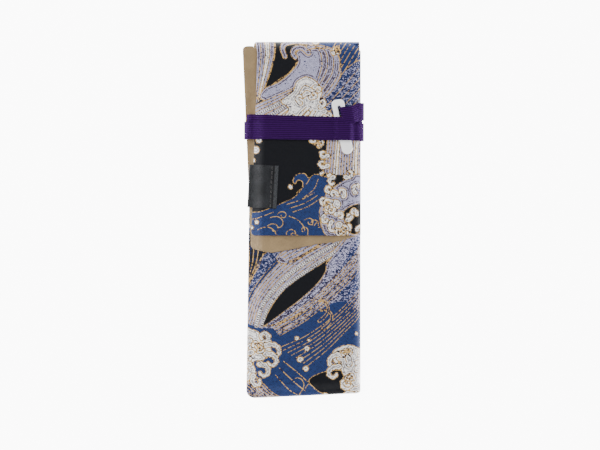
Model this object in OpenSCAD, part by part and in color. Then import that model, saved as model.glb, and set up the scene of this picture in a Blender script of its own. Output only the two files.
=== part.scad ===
// Brush roll case, lying closed on its back: one padded cloth panel, folded in half like a book
// along its right side, its top folded down over the front as a flap, and held shut by an
// elastic strap with a plastic claw. X is the width, Y the length towards the top fold, +Z faces up.

/* [Panel] */
// Length of the closed case
case_length = 184; // [170:1:200]
// Width of the closed case, from its free edge to its side fold
leaf_width = 58; // [52:1:64]
// Thickness of the brocade
brocade_t = 0.5; // [0.4:0.1:0.7]
// Thickness of the padding in the two leaves
padding_t = 2.0; // [1.9:0.1:2.6]
// Thickness of the plain lining
lining_t = 0.4; // [0.3:0.1:0.6]
// Gap between layers that slide on each other
layer_gap = 0.3; // [0.2:0.05:0.5]

/* [Pockets] */
// Number of brush pockets
pocket_count = 4; // [3:1:5]
// Clear height inside a pocket
pocket_height = 4.4; // [4.3:0.1:6]
// Length of the pockets
pocket_length = 120; // [90:1:130]

/* [Flap] */
// Length of the outer flap below the top fold
flap_length = 100; // [80:1:110]
// How far the under flap reaches below the outer flap at its free edge
under_reach = 8.2; // [4:0.1:14]

/* [Label] */
// Width of the leather label on the front
label_w = 14.9; // [10:0.1:20]
// Height of the leather label
label_h = 22; // [14:1:30]
// Thickness of its leather
label_t = 0.6; // [0.5:0.1:0.8]

/* [Strap] */
// Width of the elastic strap
strap_w = 9; // [7:0.5:11]
// Thickness of the elastic strap
strap_t = 0.7; // [0.5:0.1:0.9]
// Distance from the top fold to the middle of the outer wrap
strap_from_top = 46.3; // [35:0.1:55]

/* [Claw] */
// Length of the plastic claw
claw_length = 28.5; // [26:0.5:32]
// Width of the claw's arm
claw_w = 5.7; // [5:0.1:6.4]
// Thickness of the claw
claw_t = 1.8; // [1.4:0.1:2.4]
// Lean of the claw from the long axis
claw_lean = 11.5; // [5:0.1:14]

/* [Hidden] */
$fn = 32;

blue = [0.16, 0.17, 0.45];
lilac = [0.62, 0.62, 0.74];
khaki = [0.73, 0.68, 0.52];
felt = [0.86, 0.85, 0.82];
black = [0.09, 0.09, 0.10];
purple = [0.30, 0.17, 0.42];
white = [0.93, 0.93, 0.91];

// heights of the layers, from the resting face up
leaf_t = brocade_t + padding_t + lining_t;
pocket_z = leaf_t;
front_z = pocket_z + pocket_height + lining_t + layer_gap;
front_top = front_z + leaf_t;
under_z = front_top + layer_gap;
under_top = under_z + brocade_t + lining_t;
label_back_z = under_top + layer_gap;
outer_z = label_back_z + label_t;
outer_top = outer_z + lining_t + brocade_t;

// plan of the panel
top_y = case_length / 2;
bottom_y = -case_length / 2;
bottom_rise = 2.3;       // the bottom edge climbs towards the side fold
side_x = leaf_width / 2; // outside of the side fold
edge_bottom_x = -leaf_width / 2 - 0.6;
edge_top_x = edge_bottom_x + 2.4;
corner_r = 4;
padding_inset = 2;

// radii of the folds, each at the outside of its brocade or lining
spine_r = front_top / 2;
spine_x = side_x - spine_r;
top_fold_r = outer_top / 2;
top_fold_y = top_y - top_fold_r;
inner_fold_r = (under_top - front_z) / 2;
inner_fold_y = top_fold_y + 2.1;
flap_side_r = (outer_top - under_z) / 2;
flap_side_x = side_x - flap_side_r;

// outline of the flap's two layers
hem_y = top_y - flap_length;
outer_edge_top_x = -24.6;
outer_edge_hem_x = -28;
under_edge_top_x = -31.2;
under_edge_hem_x = -27.8;
under_hem_rise = 7.6;

// the strap, and the channel that it presses into the back
outer_wrap_y = top_y - strap_from_top - strap_w / 2;
inner_wrap_y = outer_wrap_y + 3;
tail_y = inner_wrap_y + strap_w + 0.2;
strap_gap = 0.1;
channel_h = 2 * strap_t + 3.5 * strap_gap;
channel_low = outer_wrap_y - 0.8;
channel_high = tail_y + strap_w + 1.2;
wrap_left = -30.1;
wrap_right = side_x + 0.3;

// the claw, along its own length from its tip; the strap's end turns round its right-hand bar
claw_x = 22.4;
claw_tip_y = 33.8;
claw_z = outer_top + 0.2;
claw_head_w = claw_w + 0.9;
slot_low = claw_length - 13.5;
slot_length = strap_w + 1.2;
slot_left = -0.5;
slot_w = 1.5;
bar_right = claw_head_w / 2;
bar_t = 1.0;
loop_y = slot_low + slot_length / 2;
loop_end = 6;    // where the turned end is sewn down, from the claw's middle
loop_top = claw_t + strap_gap + strap_t;

function arc(cx, cy, r, from, to, steps = 8) =
    [for (i = [0:steps]) let (a = from + (to - from) * i / steps) [cx + r * cos(a), cy + r * sin(a)]];

// free edge of a leaf at height y
function edge_x(y) = edge_bottom_x + (edge_top_x - edge_bottom_x) * (y - bottom_y) / case_length;

// flat part of a leaf, from its free edge to the side fold
module leaf_plan(end_y, inset = 0) {
    left = edge_x(bottom_y) + inset;
    low = bottom_y + inset;
    r = corner_r - inset / 2;
    polygon(concat([[spine_x, low + bottom_rise]],
        arc(left + r, low + r, r, 270, 180),
        [[edge_x(end_y) + inset, end_y], [spine_x, end_y]]));
}

// section along Y of the back brocade, which steps up over the strap's channel
module stepped_section() {
    roof = channel_h + brocade_t;
    near = channel_low - brocade_t;
    far = channel_high + brocade_t;
    polygon([[bottom_y - 1, 0], [channel_low, 0], [channel_low, channel_h], [channel_high, channel_h],
        [channel_high, 0], [top_y, 0], [top_y, brocade_t], [far, brocade_t], [far, roof],
        [near, roof], [near, brocade_t], [bottom_y - 1, brocade_t]]);
}

module across(length) { rotate([90, 0, 90]) linear_extrude(length, center = true) children(); }
module along(from_y, to_y) {
    translate([0, to_y, 0]) rotate([90, 0, 0]) linear_extrude(to_y - from_y) children();
}
module plate(z, t) { translate([0, 0, z]) linear_extrude(t) children(); }

// half disc on the +X side, for the folds; back is how far it reaches the other way
module half_disc(cx, cz, r, back = 0) {
    intersection() {
        translate([cx, cz]) circle(r, $fn = 48);
        translate([cx - back, cz - r]) square([r + back, 2 * r]);
    }
}
module half_ring(cx, cz, r, t) {
    difference() { half_disc(cx, cz, r); half_disc(cx, cz, r - t, 0.01); }
}

// a thread stitch lying along Y or X
module stitch(x, y, z, length, turned = false) {
    translate([x, y, z + 0.18]) rotate(turned ? [0, 90, 0] : [90, 0, 0])
        cylinder(h = length, r = 0.17, center = true, $fn = 16);
}

module back_brocade() {
    color(blue) intersection() {
        plate(-1, 10) leaf_plan(top_fold_y);
        across(200) stepped_section();
    }
}

module back_padding() {
    color(felt) difference() {
        plate(brocade_t, padding_t) leaf_plan(top_fold_y, padding_inset);
        translate([-50, channel_low - brocade_t, 0])
            cube([100, channel_high - channel_low + 2 * brocade_t, channel_h + brocade_t]);
    }
}

module back_lining() { color(khaki) plate(brocade_t + padding_t, lining_t) leaf_plan(top_fold_y); }

// pockets: arched tunnels of lining cloth, sewn down between them
pocket_left = -26;
pocket_right = spine_x - 0.6;
seam_w = 1.4;
pocket_pitch = (pocket_right - pocket_left - seam_w) / pocket_count;
pocket_low = bottom_y + 5;
pocket_top = pocket_low + pocket_length;

module tunnel(x, r, grow) {
    w = pocket_pitch - seam_w - 2 * lining_t + 2 * grow;
    h = pocket_height + grow;
    polygon(concat([[x - w / 2, 0], [x + w / 2, 0]],
        arc(x + w / 2 - r, h - r, r, 0, 90, 5), arc(x - w / 2 + r, h - r, r, 90, 180, 5)));
}

module pocket_section(filled = false) {
    difference() {
        union() {
            translate([pocket_left, 0]) square([pocket_right - pocket_left, lining_t]);
            for (i = [0:pocket_count - 1]) tunnel(pocket_x(i), 1 + lining_t, lining_t);
        }
        if (!filled) for (i = [0:pocket_count - 1]) translate([0, -0.01]) tunnel(pocket_x(i), 1, 0);
    }
}
function pocket_x(i) = pocket_left + seam_w / 2 + pocket_pitch * (i + 0.5);

module pocket_cloth() {
    color(khaki) translate([0, 0, pocket_z]) {
        along(pocket_low, pocket_top) pocket_section();
        along(pocket_low - lining_t, pocket_low) pocket_section(filled = true);
    }
}

// folded binding that stands at the pockets' mouths
module pocket_binding() {
    color(lilac) translate([0, 0, pocket_z]) along(pocket_top, pocket_top + 2) pocket_section();
}

module pocket_stitching() {
    color(white) for (i = [0:pocket_count], y = [pocket_low + 3:4:pocket_top - 3])
        stitch(pocket_left + seam_w / 2 + pocket_pitch * i, y, pocket_z + lining_t, 2.6);
}

// the side fold, squeezed in where the strap goes round it
squeezed_r = (front_top - channel_h) / 2;
squeezed_z = channel_h + squeezed_r;
module spine_brocade() {
    low = bottom_y + bottom_rise;
    color(blue) difference() {
        union() {
            along(low, channel_low) half_disc(spine_x, spine_r, spine_r);
            along(channel_low - 0.1, channel_high + 0.1) half_disc(spine_x, squeezed_z, squeezed_r);
            along(channel_high, top_fold_y) half_disc(spine_x, spine_r, spine_r);
        }
        along(low - 1, channel_low - brocade_t) half_disc(spine_x, spine_r, spine_r - brocade_t, 0.01);
        along(channel_high + brocade_t, top_y) half_disc(spine_x, spine_r, spine_r - brocade_t, 0.01);
        along(channel_low - 1, channel_high + 1)
            half_disc(spine_x, squeezed_z, squeezed_r - brocade_t, 0.01);
    }
}

module spine_padding() {
    color(felt) for (part = [[bottom_y + bottom_rise + padding_inset, channel_low - brocade_t],
            [channel_high + brocade_t, top_fold_y]])
        along(part[0], part[1]) half_ring(spine_x, spine_r, spine_r - brocade_t, padding_t);
}

module spine_lining() {
    color(khaki) along(bottom_y + bottom_rise, top_fold_y)
        half_ring(spine_x, spine_r, spine_r - brocade_t - padding_t, lining_t);
}

// the top fold, from the back leaf up and over to the outer flap
module top_fold(r, t) { across(2 * side_x) half_ring(top_fold_y, top_fold_r, r, t); }
module fold_trim() {
    intersection() {
        children();
        plate(-1, 20) polygon([[edge_top_x, top_fold_y - 1], [edge_top_x, top_y - 3],
            [edge_top_x + 2, top_y + 1], [side_x - 1, top_y + 1], [side_x, top_y - 2], [side_x, top_fold_y - 1]]);
    }
}
module top_fold_brocade() { color(blue) fold_trim() top_fold(top_fold_r, brocade_t); }
module top_fold_lining() { color(khaki) fold_trim() top_fold(top_fold_r - brocade_t, lining_t); }

module front_lining() { color(khaki) plate(front_z, lining_t) leaf_plan(inner_fold_y); }
module front_padding() {
    color(felt) plate(front_z + lining_t, padding_t) leaf_plan(inner_fold_y, padding_inset);
}
module front_brocade() {
    color(blue) plate(front_z + lining_t + padding_t, brocade_t) leaf_plan(inner_fold_y);
}

// the tight fold inside the top fold, from the front leaf to the under flap
module inner_fold(r, z, t) {
    translate([edge_top_x, 0, 0]) rotate([90, 0, 90]) linear_extrude(spine_x - edge_top_x)
        half_ring(inner_fold_y, z, r, t);
}
module inner_fold_brocade() {
    color(blue) inner_fold(layer_gap / 2 + brocade_t, front_top + layer_gap / 2, brocade_t);
}
module inner_fold_lining() { color(khaki) inner_fold(inner_fold_r, front_z + inner_fold_r, lining_t); }

// plan of the outer flap
module outer_flap_plan() {
    r = 2;
    polygon(concat([[flap_side_x, hem_y]], arc(outer_edge_hem_x + r, hem_y + r, r, 270, 180),
        [[outer_edge_top_x, top_fold_y], [flap_side_x, top_fold_y]]));
}
module outer_flap_lining() { color(khaki) plate(outer_z, lining_t) outer_flap_plan(); }
module outer_flap_brocade() { color(blue) plate(outer_z + lining_t, brocade_t) outer_flap_plan(); }

// plan of the under flap, which shows beyond the outer flap's hem and free edge
module under_flap_plan() {
    r = corner_r;
    low = hem_y - under_reach;
    polygon(concat([[flap_side_x, low + under_hem_rise]],
        arc(under_edge_hem_x + r, low + r, r, 275, 180),
        [[under_edge_hem_x, hem_y], [under_edge_top_x, top_fold_y - 1]],
        arc(under_edge_top_x + 3, inner_fold_y - 3, 3, 175, 90), [[flap_side_x, inner_fold_y]]));
}
module under_flap_brocade() { color(blue) plate(under_z, brocade_t) under_flap_plan(); }
module under_flap_lining() { color(khaki) plate(under_z + brocade_t, lining_t) under_flap_plan(); }

// the flap's own side fold, from the outer flap to the under flap
module flap_side(r, t) { along(hem_y, top_fold_y) half_ring(flap_side_x, under_z + flap_side_r, r, t); }
module flap_side_lining() { color(khaki) flap_side(flap_side_r - brocade_t, lining_t); }
module flap_side_brocade() { color(blue) flap_side(flap_side_r, brocade_t); }

// the label: a strip of leather folded round the outer flap's free edge
label_y = 6.2;
label_left = -28.1;
label_back_w = 7;
module label_bar(w, z, t) {
    translate([outer_edge_hem_x - 0.1 - label_t, label_y, z]) cube([w, label_h, t]);
}
module leather_label() {
    color(black) {
        label_bar(label_w, outer_top, label_t);
        label_bar(label_back_w, label_back_z, label_t);
        label_bar(label_t, label_back_z, outer_top + label_t - label_back_z);
    }
}
module label_stitching() {
    color(felt) for (y = [label_y + 1.6:1.6:label_y + label_h - 1])
        stitch(label_left + label_w - 3, y, outer_top + label_t, 1.1);
}

// what the strap hugs: the stack, with the claw and its loop on it
module strap_core() {
    ramp = 2.5;
    lift = claw_z + loop_top + strap_gap;
    left = claw_x - (inner_wrap_y + strap_w - claw_tip_y) * tan(claw_lean) - claw_head_w / 2 - 0.6;
    right = claw_x + loop_end * cos(claw_lean) - (loop_y - strap_w / 2) * sin(claw_lean) + 0.3;
    polygon([[wrap_left, channel_h], [wrap_right, channel_h], [wrap_right, outer_top],
        [right + ramp, outer_top], [right, lift], [left, lift], [left - ramp, outer_top],
        [wrap_left, outer_top]]);
}
module wrap(y, gap) {
    along(y, y + strap_w) difference() {
        offset(r = gap + strap_t, $fn = 24) strap_core();
        offset(r = gap, $fn = 24) strap_core();
    }
}
module strap_inner_wrap() { color(purple) wrap(inner_wrap_y, strap_gap); }
module strap_outer_wrap() { color(purple) wrap(outer_wrap_y, 2 * strap_gap + strap_t); }

// the tail comes from the back, round the side fold, to the claw's loop
module strap_tail() {
    gap = 2 * strap_gap + strap_t;
    color(purple) difference() {
        along(tail_y, tail_y + strap_w) intersection() {
            difference() {
                offset(r = gap + strap_t, $fn = 24) square_core();
                offset(r = gap, $fn = 24) square_core();
            }
            union() {
                translate([15, outer_top]) square([20, 5]);
                translate([8, -5]) square([40, 10]);
                translate([side_x, -5]) square([20, 30]);
            }
        }
        on_claw() translate([-30, -20, -5]) cube([30 + loop_end + 0.05, 80, 10]);
    }
}
module square_core() {
    translate([wrap_left, channel_h]) square([wrap_right - wrap_left, outer_top - channel_h]);
}

// place things along the claw's length: y is counted from its tip
module on_claw() {
    translate([claw_x, claw_tip_y, claw_z]) rotate(claw_lean) children();
}

// the end of the strap, turned round the claw's bar and sewn down on itself
bar_z = claw_t - bar_t;
module strap_end_loop() {
    bar_left = slot_left + slot_w;
    turn_r = bar_t / 2 + strap_gap + strap_t;
    mid_z = bar_z + bar_t / 2;
    color(purple) on_claw() along(loop_y - strap_w / 2, loop_y + strap_w / 2) difference() {
        hull() {
            translate([bar_left + turn_r - 0.7, mid_z]) circle(turn_r, $fn = 24);
            translate([bar_right + 0.4, mid_z]) circle(turn_r, $fn = 24);
            translate([loop_end - 0.2, -0.05]) square([0.2, 2 * strap_t]);
        }
        translate([bar_left - 0.1, bar_z - strap_gap])
            square([bar_right - bar_left + 0.3, bar_t + 2 * strap_gap]);
    }
}
module loop_bar_tack() {
    color([0.55, 0.2, 0.25]) on_claw() for (y = [loop_y - 3.6:0.9:loop_y + 3.6])
        stitch(loop_end - 0.4, y, 2 * strap_t + 0.32, 0.5);
}

// the claw: one moulded plate, rounded at both ends, with a slot for the strap
module claw_pad(x, y, r, soft = 0.5) {
    translate([x, y, claw_t / 2]) {
        cylinder(h = claw_t - 2 * soft, r = r, center = true);
        cylinder(h = claw_t, r = r - soft, center = true);
    }
}
module claw() {
    tip_r = claw_w / 2;
    head_r = 2.4;
    color(white) on_claw() difference() {
        hull() {
            claw_pad(0, tip_r, tip_r);
            claw_pad(-claw_head_w / 2 + head_r, claw_length - head_r, head_r);
            claw_pad(claw_head_w / 2 - head_r, claw_length - head_r, head_r);
        }
        translate([slot_left, slot_low, -1]) cube([slot_w, slot_length, claw_t + 2]);
        translate([slot_left, slot_low, -1]) cube([10, slot_length, bar_z + 1]);
    }
}

back_brocade();
back_padding();
back_lining();
pocket_cloth();
pocket_binding();
pocket_stitching();
spine_brocade();
spine_padding();
spine_lining();
top_fold_brocade();
top_fold_lining();
front_lining();
front_padding();
front_brocade();
inner_fold_brocade();
inner_fold_lining();
outer_flap_lining();
outer_flap_brocade();
flap_side_lining();
flap_side_brocade();
under_flap_brocade();
under_flap_lining();
leather_label();
label_stitching();
strap_inner_wrap();
strap_outer_wrap();
strap_tail();
strap_end_loop();
loop_bar_tack();
claw();
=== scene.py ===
import math

import bmesh
import bpy
import numpy as np
from mathutils import Matrix, Vector


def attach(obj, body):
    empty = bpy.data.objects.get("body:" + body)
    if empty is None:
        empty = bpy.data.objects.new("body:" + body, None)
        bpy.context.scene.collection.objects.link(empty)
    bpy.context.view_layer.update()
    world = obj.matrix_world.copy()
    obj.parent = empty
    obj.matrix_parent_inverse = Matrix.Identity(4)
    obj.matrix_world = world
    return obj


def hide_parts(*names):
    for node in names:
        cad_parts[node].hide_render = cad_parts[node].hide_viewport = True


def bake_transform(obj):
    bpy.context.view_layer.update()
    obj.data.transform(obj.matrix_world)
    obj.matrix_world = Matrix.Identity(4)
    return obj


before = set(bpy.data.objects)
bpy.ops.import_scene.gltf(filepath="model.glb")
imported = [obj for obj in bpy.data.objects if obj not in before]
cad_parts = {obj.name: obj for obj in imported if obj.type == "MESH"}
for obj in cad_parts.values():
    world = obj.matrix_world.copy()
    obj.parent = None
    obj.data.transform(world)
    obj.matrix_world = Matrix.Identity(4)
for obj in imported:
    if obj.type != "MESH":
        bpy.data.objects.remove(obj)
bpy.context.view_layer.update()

# ---- The studio --------------------------------------------------------------------------------
# A white table under a broad soft lamp and a bright room, seen from straight above.


def add(tree, kind, inputs=(), **settings):
    """A shader node with its settings; each input is fed by a socket or keeps a plain value."""
    made = tree.nodes.new(kind)
    for key, value in settings.items():
        setattr(made, key, value)
    for key, value in dict(inputs).items():
        if isinstance(value, bpy.types.NodeSocket):
            tree.links.new(value, made.inputs[key])
        else:
            made.inputs[key].default_value = value
    return made


def mix(tree, share, first, second, blend_type="MIX"):
    """Mixes two colours."""
    return add(tree, "ShaderNodeMix", {0: share, 6: first, 7: second}, data_type="RGBA",
               blend_type=blend_type).outputs[2]


def finish_of(name, **shader_values):
    """A new material: its node tree and its shader, with the plain values set on the shader."""
    material = bpy.data.materials.new(name)
    material.use_nodes = True
    shader = material.node_tree.nodes["Principled BSDF"]
    for key, value in shader_values.items():
        shader.inputs[key.replace("_", " ").title().replace("Ior", "IOR")].default_value = value
    return material, material.node_tree, shader


def made_of(shape, name):
    """A bmesh's shape as an object in the scene."""
    piece = bpy.data.objects.new(name, bpy.data.meshes.new(name))
    shape.to_mesh(piece.data)
    shape.free()
    bpy.context.collection.objects.link(piece)
    return piece


TABLE_GLOW = 9.0
table_white, tree, shader = finish_of("table_white", roughness=0.85, emission_color=(1, 1, 1, 1),
                                      emission_strength=TABLE_GLOW)
grain = add(tree, "ShaderNodeTexNoise", {"Scale": 400.0, "Detail": 2.0})
tree.links.new(add(tree, "ShaderNodeTexCoord").outputs["Object"], grain.inputs["Vector"])
tree.links.new(mix(tree, grain.outputs[0], (0.90, 0.90, 0.905, 1), (0.93, 0.93, 0.93, 1)),
               shader.inputs["Base Color"])
shape = bmesh.new()
bmesh.ops.create_grid(shape, x_segments=2, y_segments=2, size=1.5)
bmesh.ops.translate(shape, verts=shape.verts, vec=(0, 0, -0.0002))
table = made_of(shape, "table")
table.data.materials.append(table_white)

for name, place, size, power in [("window", (-0.9, 0.7, 1.3), 1.0, 22), ("lamp", (0.8, -0.5, 1.5), 1.4, 12)]:
    light = bpy.data.lights.new(name, "AREA")
    light.size, light.energy = size, power
    holder = bpy.data.objects.new(name, light)
    holder.location = place
    holder.rotation_euler = (-Vector(place)).to_track_quat("-Z", "Y").to_euler()
    bpy.context.collection.objects.link(holder)

world = bpy.data.worlds.new("room")
world.use_nodes = True
world.node_tree.nodes["Background"].inputs["Color"].default_value = (1, 1, 1, 1)
world.node_tree.nodes["Background"].inputs["Strength"].default_value = 0.85
bpy.context.scene.world = world

camera = bpy.data.objects.new("camera", bpy.data.cameras.new("camera"))
camera.data.sensor_width, camera.data.lens = 36, 140
camera.location = (-0.0023, -0.0026, 1.2 + 0.012)
bpy.context.collection.objects.link(camera)
bpy.context.scene.camera = camera

# ---- The brocade -------------------------------------------------------------------------------
# A jacquard silk with a traditional sea of waves: satin grounds in deep blue, near-black navy,
# lilac grey and white, every shape outlined with a twisted gold thread. The loom draws it on a
# panel's own points, in millimetres of flat cloth.


def dye(red, green, blue):
    """A colour from its card values of 0 to 255, as linear light."""
    return np.array([(c / 255) ** 2.2 for c in (red, green, blue)])


def rgba(colour):
    """A colour with its alpha, as a shader's socket takes it."""
    return (*colour, 1.0)


NAVY, BLUE, LILAC, FOAM = dye(7, 10, 18), dye(32, 49, 91), dye(156, 153, 180), dye(240, 236, 233)
NO_GOLD = 9.0


def smooth(points, closed=False):
    """A rounded path through a few points. A path that is drawn already stays as it is."""
    if isinstance(points, np.ndarray):
        return points
    p = np.array(points, float)
    ends = (p[-1:], p[:2]) if closed else (2 * p[:1] - p[1:2], 2 * p[-1:] - p[-2:-1])
    q = np.vstack([ends[0], p, ends[1]])
    t = np.linspace(0, 1, 7, endpoint=False)[:, None]
    runs = []
    for a, b, c, d in zip(q[:-3], q[1:-2], q[2:-1], q[3:]):
        runs.append(0.5 * (2 * b + (c - a) * t + (2 * a - 5 * b + 4 * c - d) * t**2
                           + (3 * b - a - 3 * c + d) * t**3))
    return np.vstack([*runs, q[-2:-1]])


def hook(x, y, size, heading, curl):
    """A path that sets off at a heading and rolls up more and more, as the tip of a wave does."""
    steps = 16
    turn = np.radians(heading) + np.radians(curl) * np.linspace(0, 1, steps) ** 1.6
    step = size / steps * np.stack([np.cos(turn), np.sin(turn)], 1)
    return np.vstack([[x, y], [x, y] + np.cumsum(step, 0)])


class Loom:
    """What is woven at each point: thread colour, distance to gold, and how hatched or flecked it is."""

    def __init__(self, points, ground):
        self.at = points
        self.tint = np.tile(ground, (len(points), 1))
        self.gold = np.full(len(points), NO_GOLD)
        self.hatch = np.zeros(len(points))
        self.along = np.zeros(len(points))
        self.fleck = np.zeros(len(points))

    def near(self, path, reach):
        """The points in a path's neighbourhood."""
        low, high = path.min(0) - reach, path.max(0) + reach
        return np.flatnonzero(((self.at > low) & (self.at < high)).all(1))

    def measure(self, path, k):
        """Distance from the points k to the path, and how far along it each one is."""
        p, best, far = self.at[k], np.full(len(k), 1e9), np.zeros(len(k))
        gone = 0.0
        for a, b in zip(path[:-1], path[1:]):
            d = b - a
            length = math.hypot(*d)
            if length < 1e-6:
                continue
            t = np.clip(((p - a) @ d) / length**2, 0, 1)
            gap = np.hypot(*(p - a - t[:, None] * d).T)
            closer = gap < best
            best, far = np.where(closer, gap, best), np.where(closer, gone + t * length, far)
            gone += length
        return best, far, gone

    def weave(self, k, mask, colour, fleck=0.0):
        """A new ground, which covers what was woven there."""
        m = k[mask]
        self.tint[m] = colour
        self.gold[m], self.hatch[m], self.fleck[m] = NO_GOLD, 0, fleck

    def line(self, path):
        """One gold thread."""
        path = smooth(path)
        k = self.near(path, 1.5)
        self.gold[k] = np.minimum(self.gold[k], self.measure(path, k)[0])

    def lines(self, one, other, count):
        """Gold threads side by side, spread from one path to the other, and never crowded."""
        one, other = smooth(one), smooth(other)
        room = np.median(np.hypot(*(other - one).T)) / 1.25
        for t in np.linspace(0, 1, max(2, min(count, round(room)))):
            self.line(one * (1 - t) + other * t)

    def area(self, points, colour, edge=True, fleck=0.0, curved=True):
        """A shape filled with one thread, and outlined in gold."""
        path = smooth(points, closed=True) if curved else np.array([*points, points[0]], float)
        k = self.near(path, 2)
        x, y = self.at[k].T
        inside = np.zeros(len(k), bool)
        for (ax, ay), (bx, by) in zip(path[:-1], path[1:]):
            crosses = (ay > y) != (by > y)
            if abs(by - ay) > 1e-9:
                inside ^= crosses & (x < ax + (y - ay) / (by - ay) * (bx - ax))
        self.weave(k, inside, colour, fleck)
        if edge:
            self.line(path)

    def stroke(self, path, width, colour, taper=0.35, edge=True, hatch=0.0, knuckles=0.0):
        """A band along a path, as wide as width at its root and taper times that at its tip."""
        path = smooth(path)
        k = self.near(path, width + 1)
        gap, far, length = self.measure(path, k)
        half = width / 2 * (1 - (1 - taper) * far / length) * (1 + knuckles * np.sin(far * 2.6))
        self.weave(k, gap < half, colour)
        if hatch:
            m = k[gap < half]
            self.hatch[m], self.along[m] = hatch, far[gap < half]
        if edge:
            self.gold[k] = np.minimum(self.gold[k], np.abs(gap - half))

    def bubble(self, x, y, radius):
        """A drop of spray."""
        ring = np.array([[x, y], [x + 0.01, y]])
        self.stroke(ring, 2 * radius, FOAM, taper=1)

    def curl(self, x, y, size, heading, curl, width):
        """A finger of a wave, with its rolled tip."""
        self.stroke(hook(x, y, size, heading, curl), width, FOAM, taper=0.55, knuckles=0.16)

    def curls(self, width, fingers):
        """Fingers of one width, each given by its x, y, size, heading and curl."""
        for finger in fingers:
            self.curl(*finger, width)

    def foam(self, x, y, size, heading, fingers=5, curl=230, body=True):
        """A breaking crest: a white body and a fan of curled fingers."""
        if body:
            self.stroke(hook(x, y, size * 0.8, heading, curl * 0.15), size * 0.75, FOAM, taper=0.7)
        for i in range(fingers):
            t = (i + 0.5) / fingers
            lean = heading + (t - 0.5) * 150
            root_x = x + size * 0.35 * math.cos(math.radians(lean))
            root_y = y + size * 0.35 * math.sin(math.radians(lean))
            way = 1 if t < 0.5 else -1
            self.curl(root_x, root_y, size * (0.85 + 0.25 * math.sin(7 * t)), lean, way * curl, size * 0.26)

    def braid(self, path, width=1.5):
        """A pale twisted cord, hatched across."""
        self.stroke(path, width, FOAM, taper=1, edge=False, hatch=1.0)

    def streams(self, one, other, colours, lines=2, hatched=(), fleck=0.0):
        """Ribbons of water side by side, spread from one path to the other."""
        n, one, other = len(colours), smooth(one), smooth(other)
        for i, colour in enumerate(colours):
            a, b = i / n, (i + 1) / n
            edge_a, edge_b = one * (1 - a) + other * a, one * (1 - b) + other * b
            self.area(np.vstack([edge_a, edge_b[::-1]]), colour, edge=False, fleck=fleck, curved=False)
        self.lines(one, other, n * lines + 1)
        for i in hatched:
            t = (i + 0.5) / n
            self.braid(one * (1 - t) + other * t)


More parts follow.
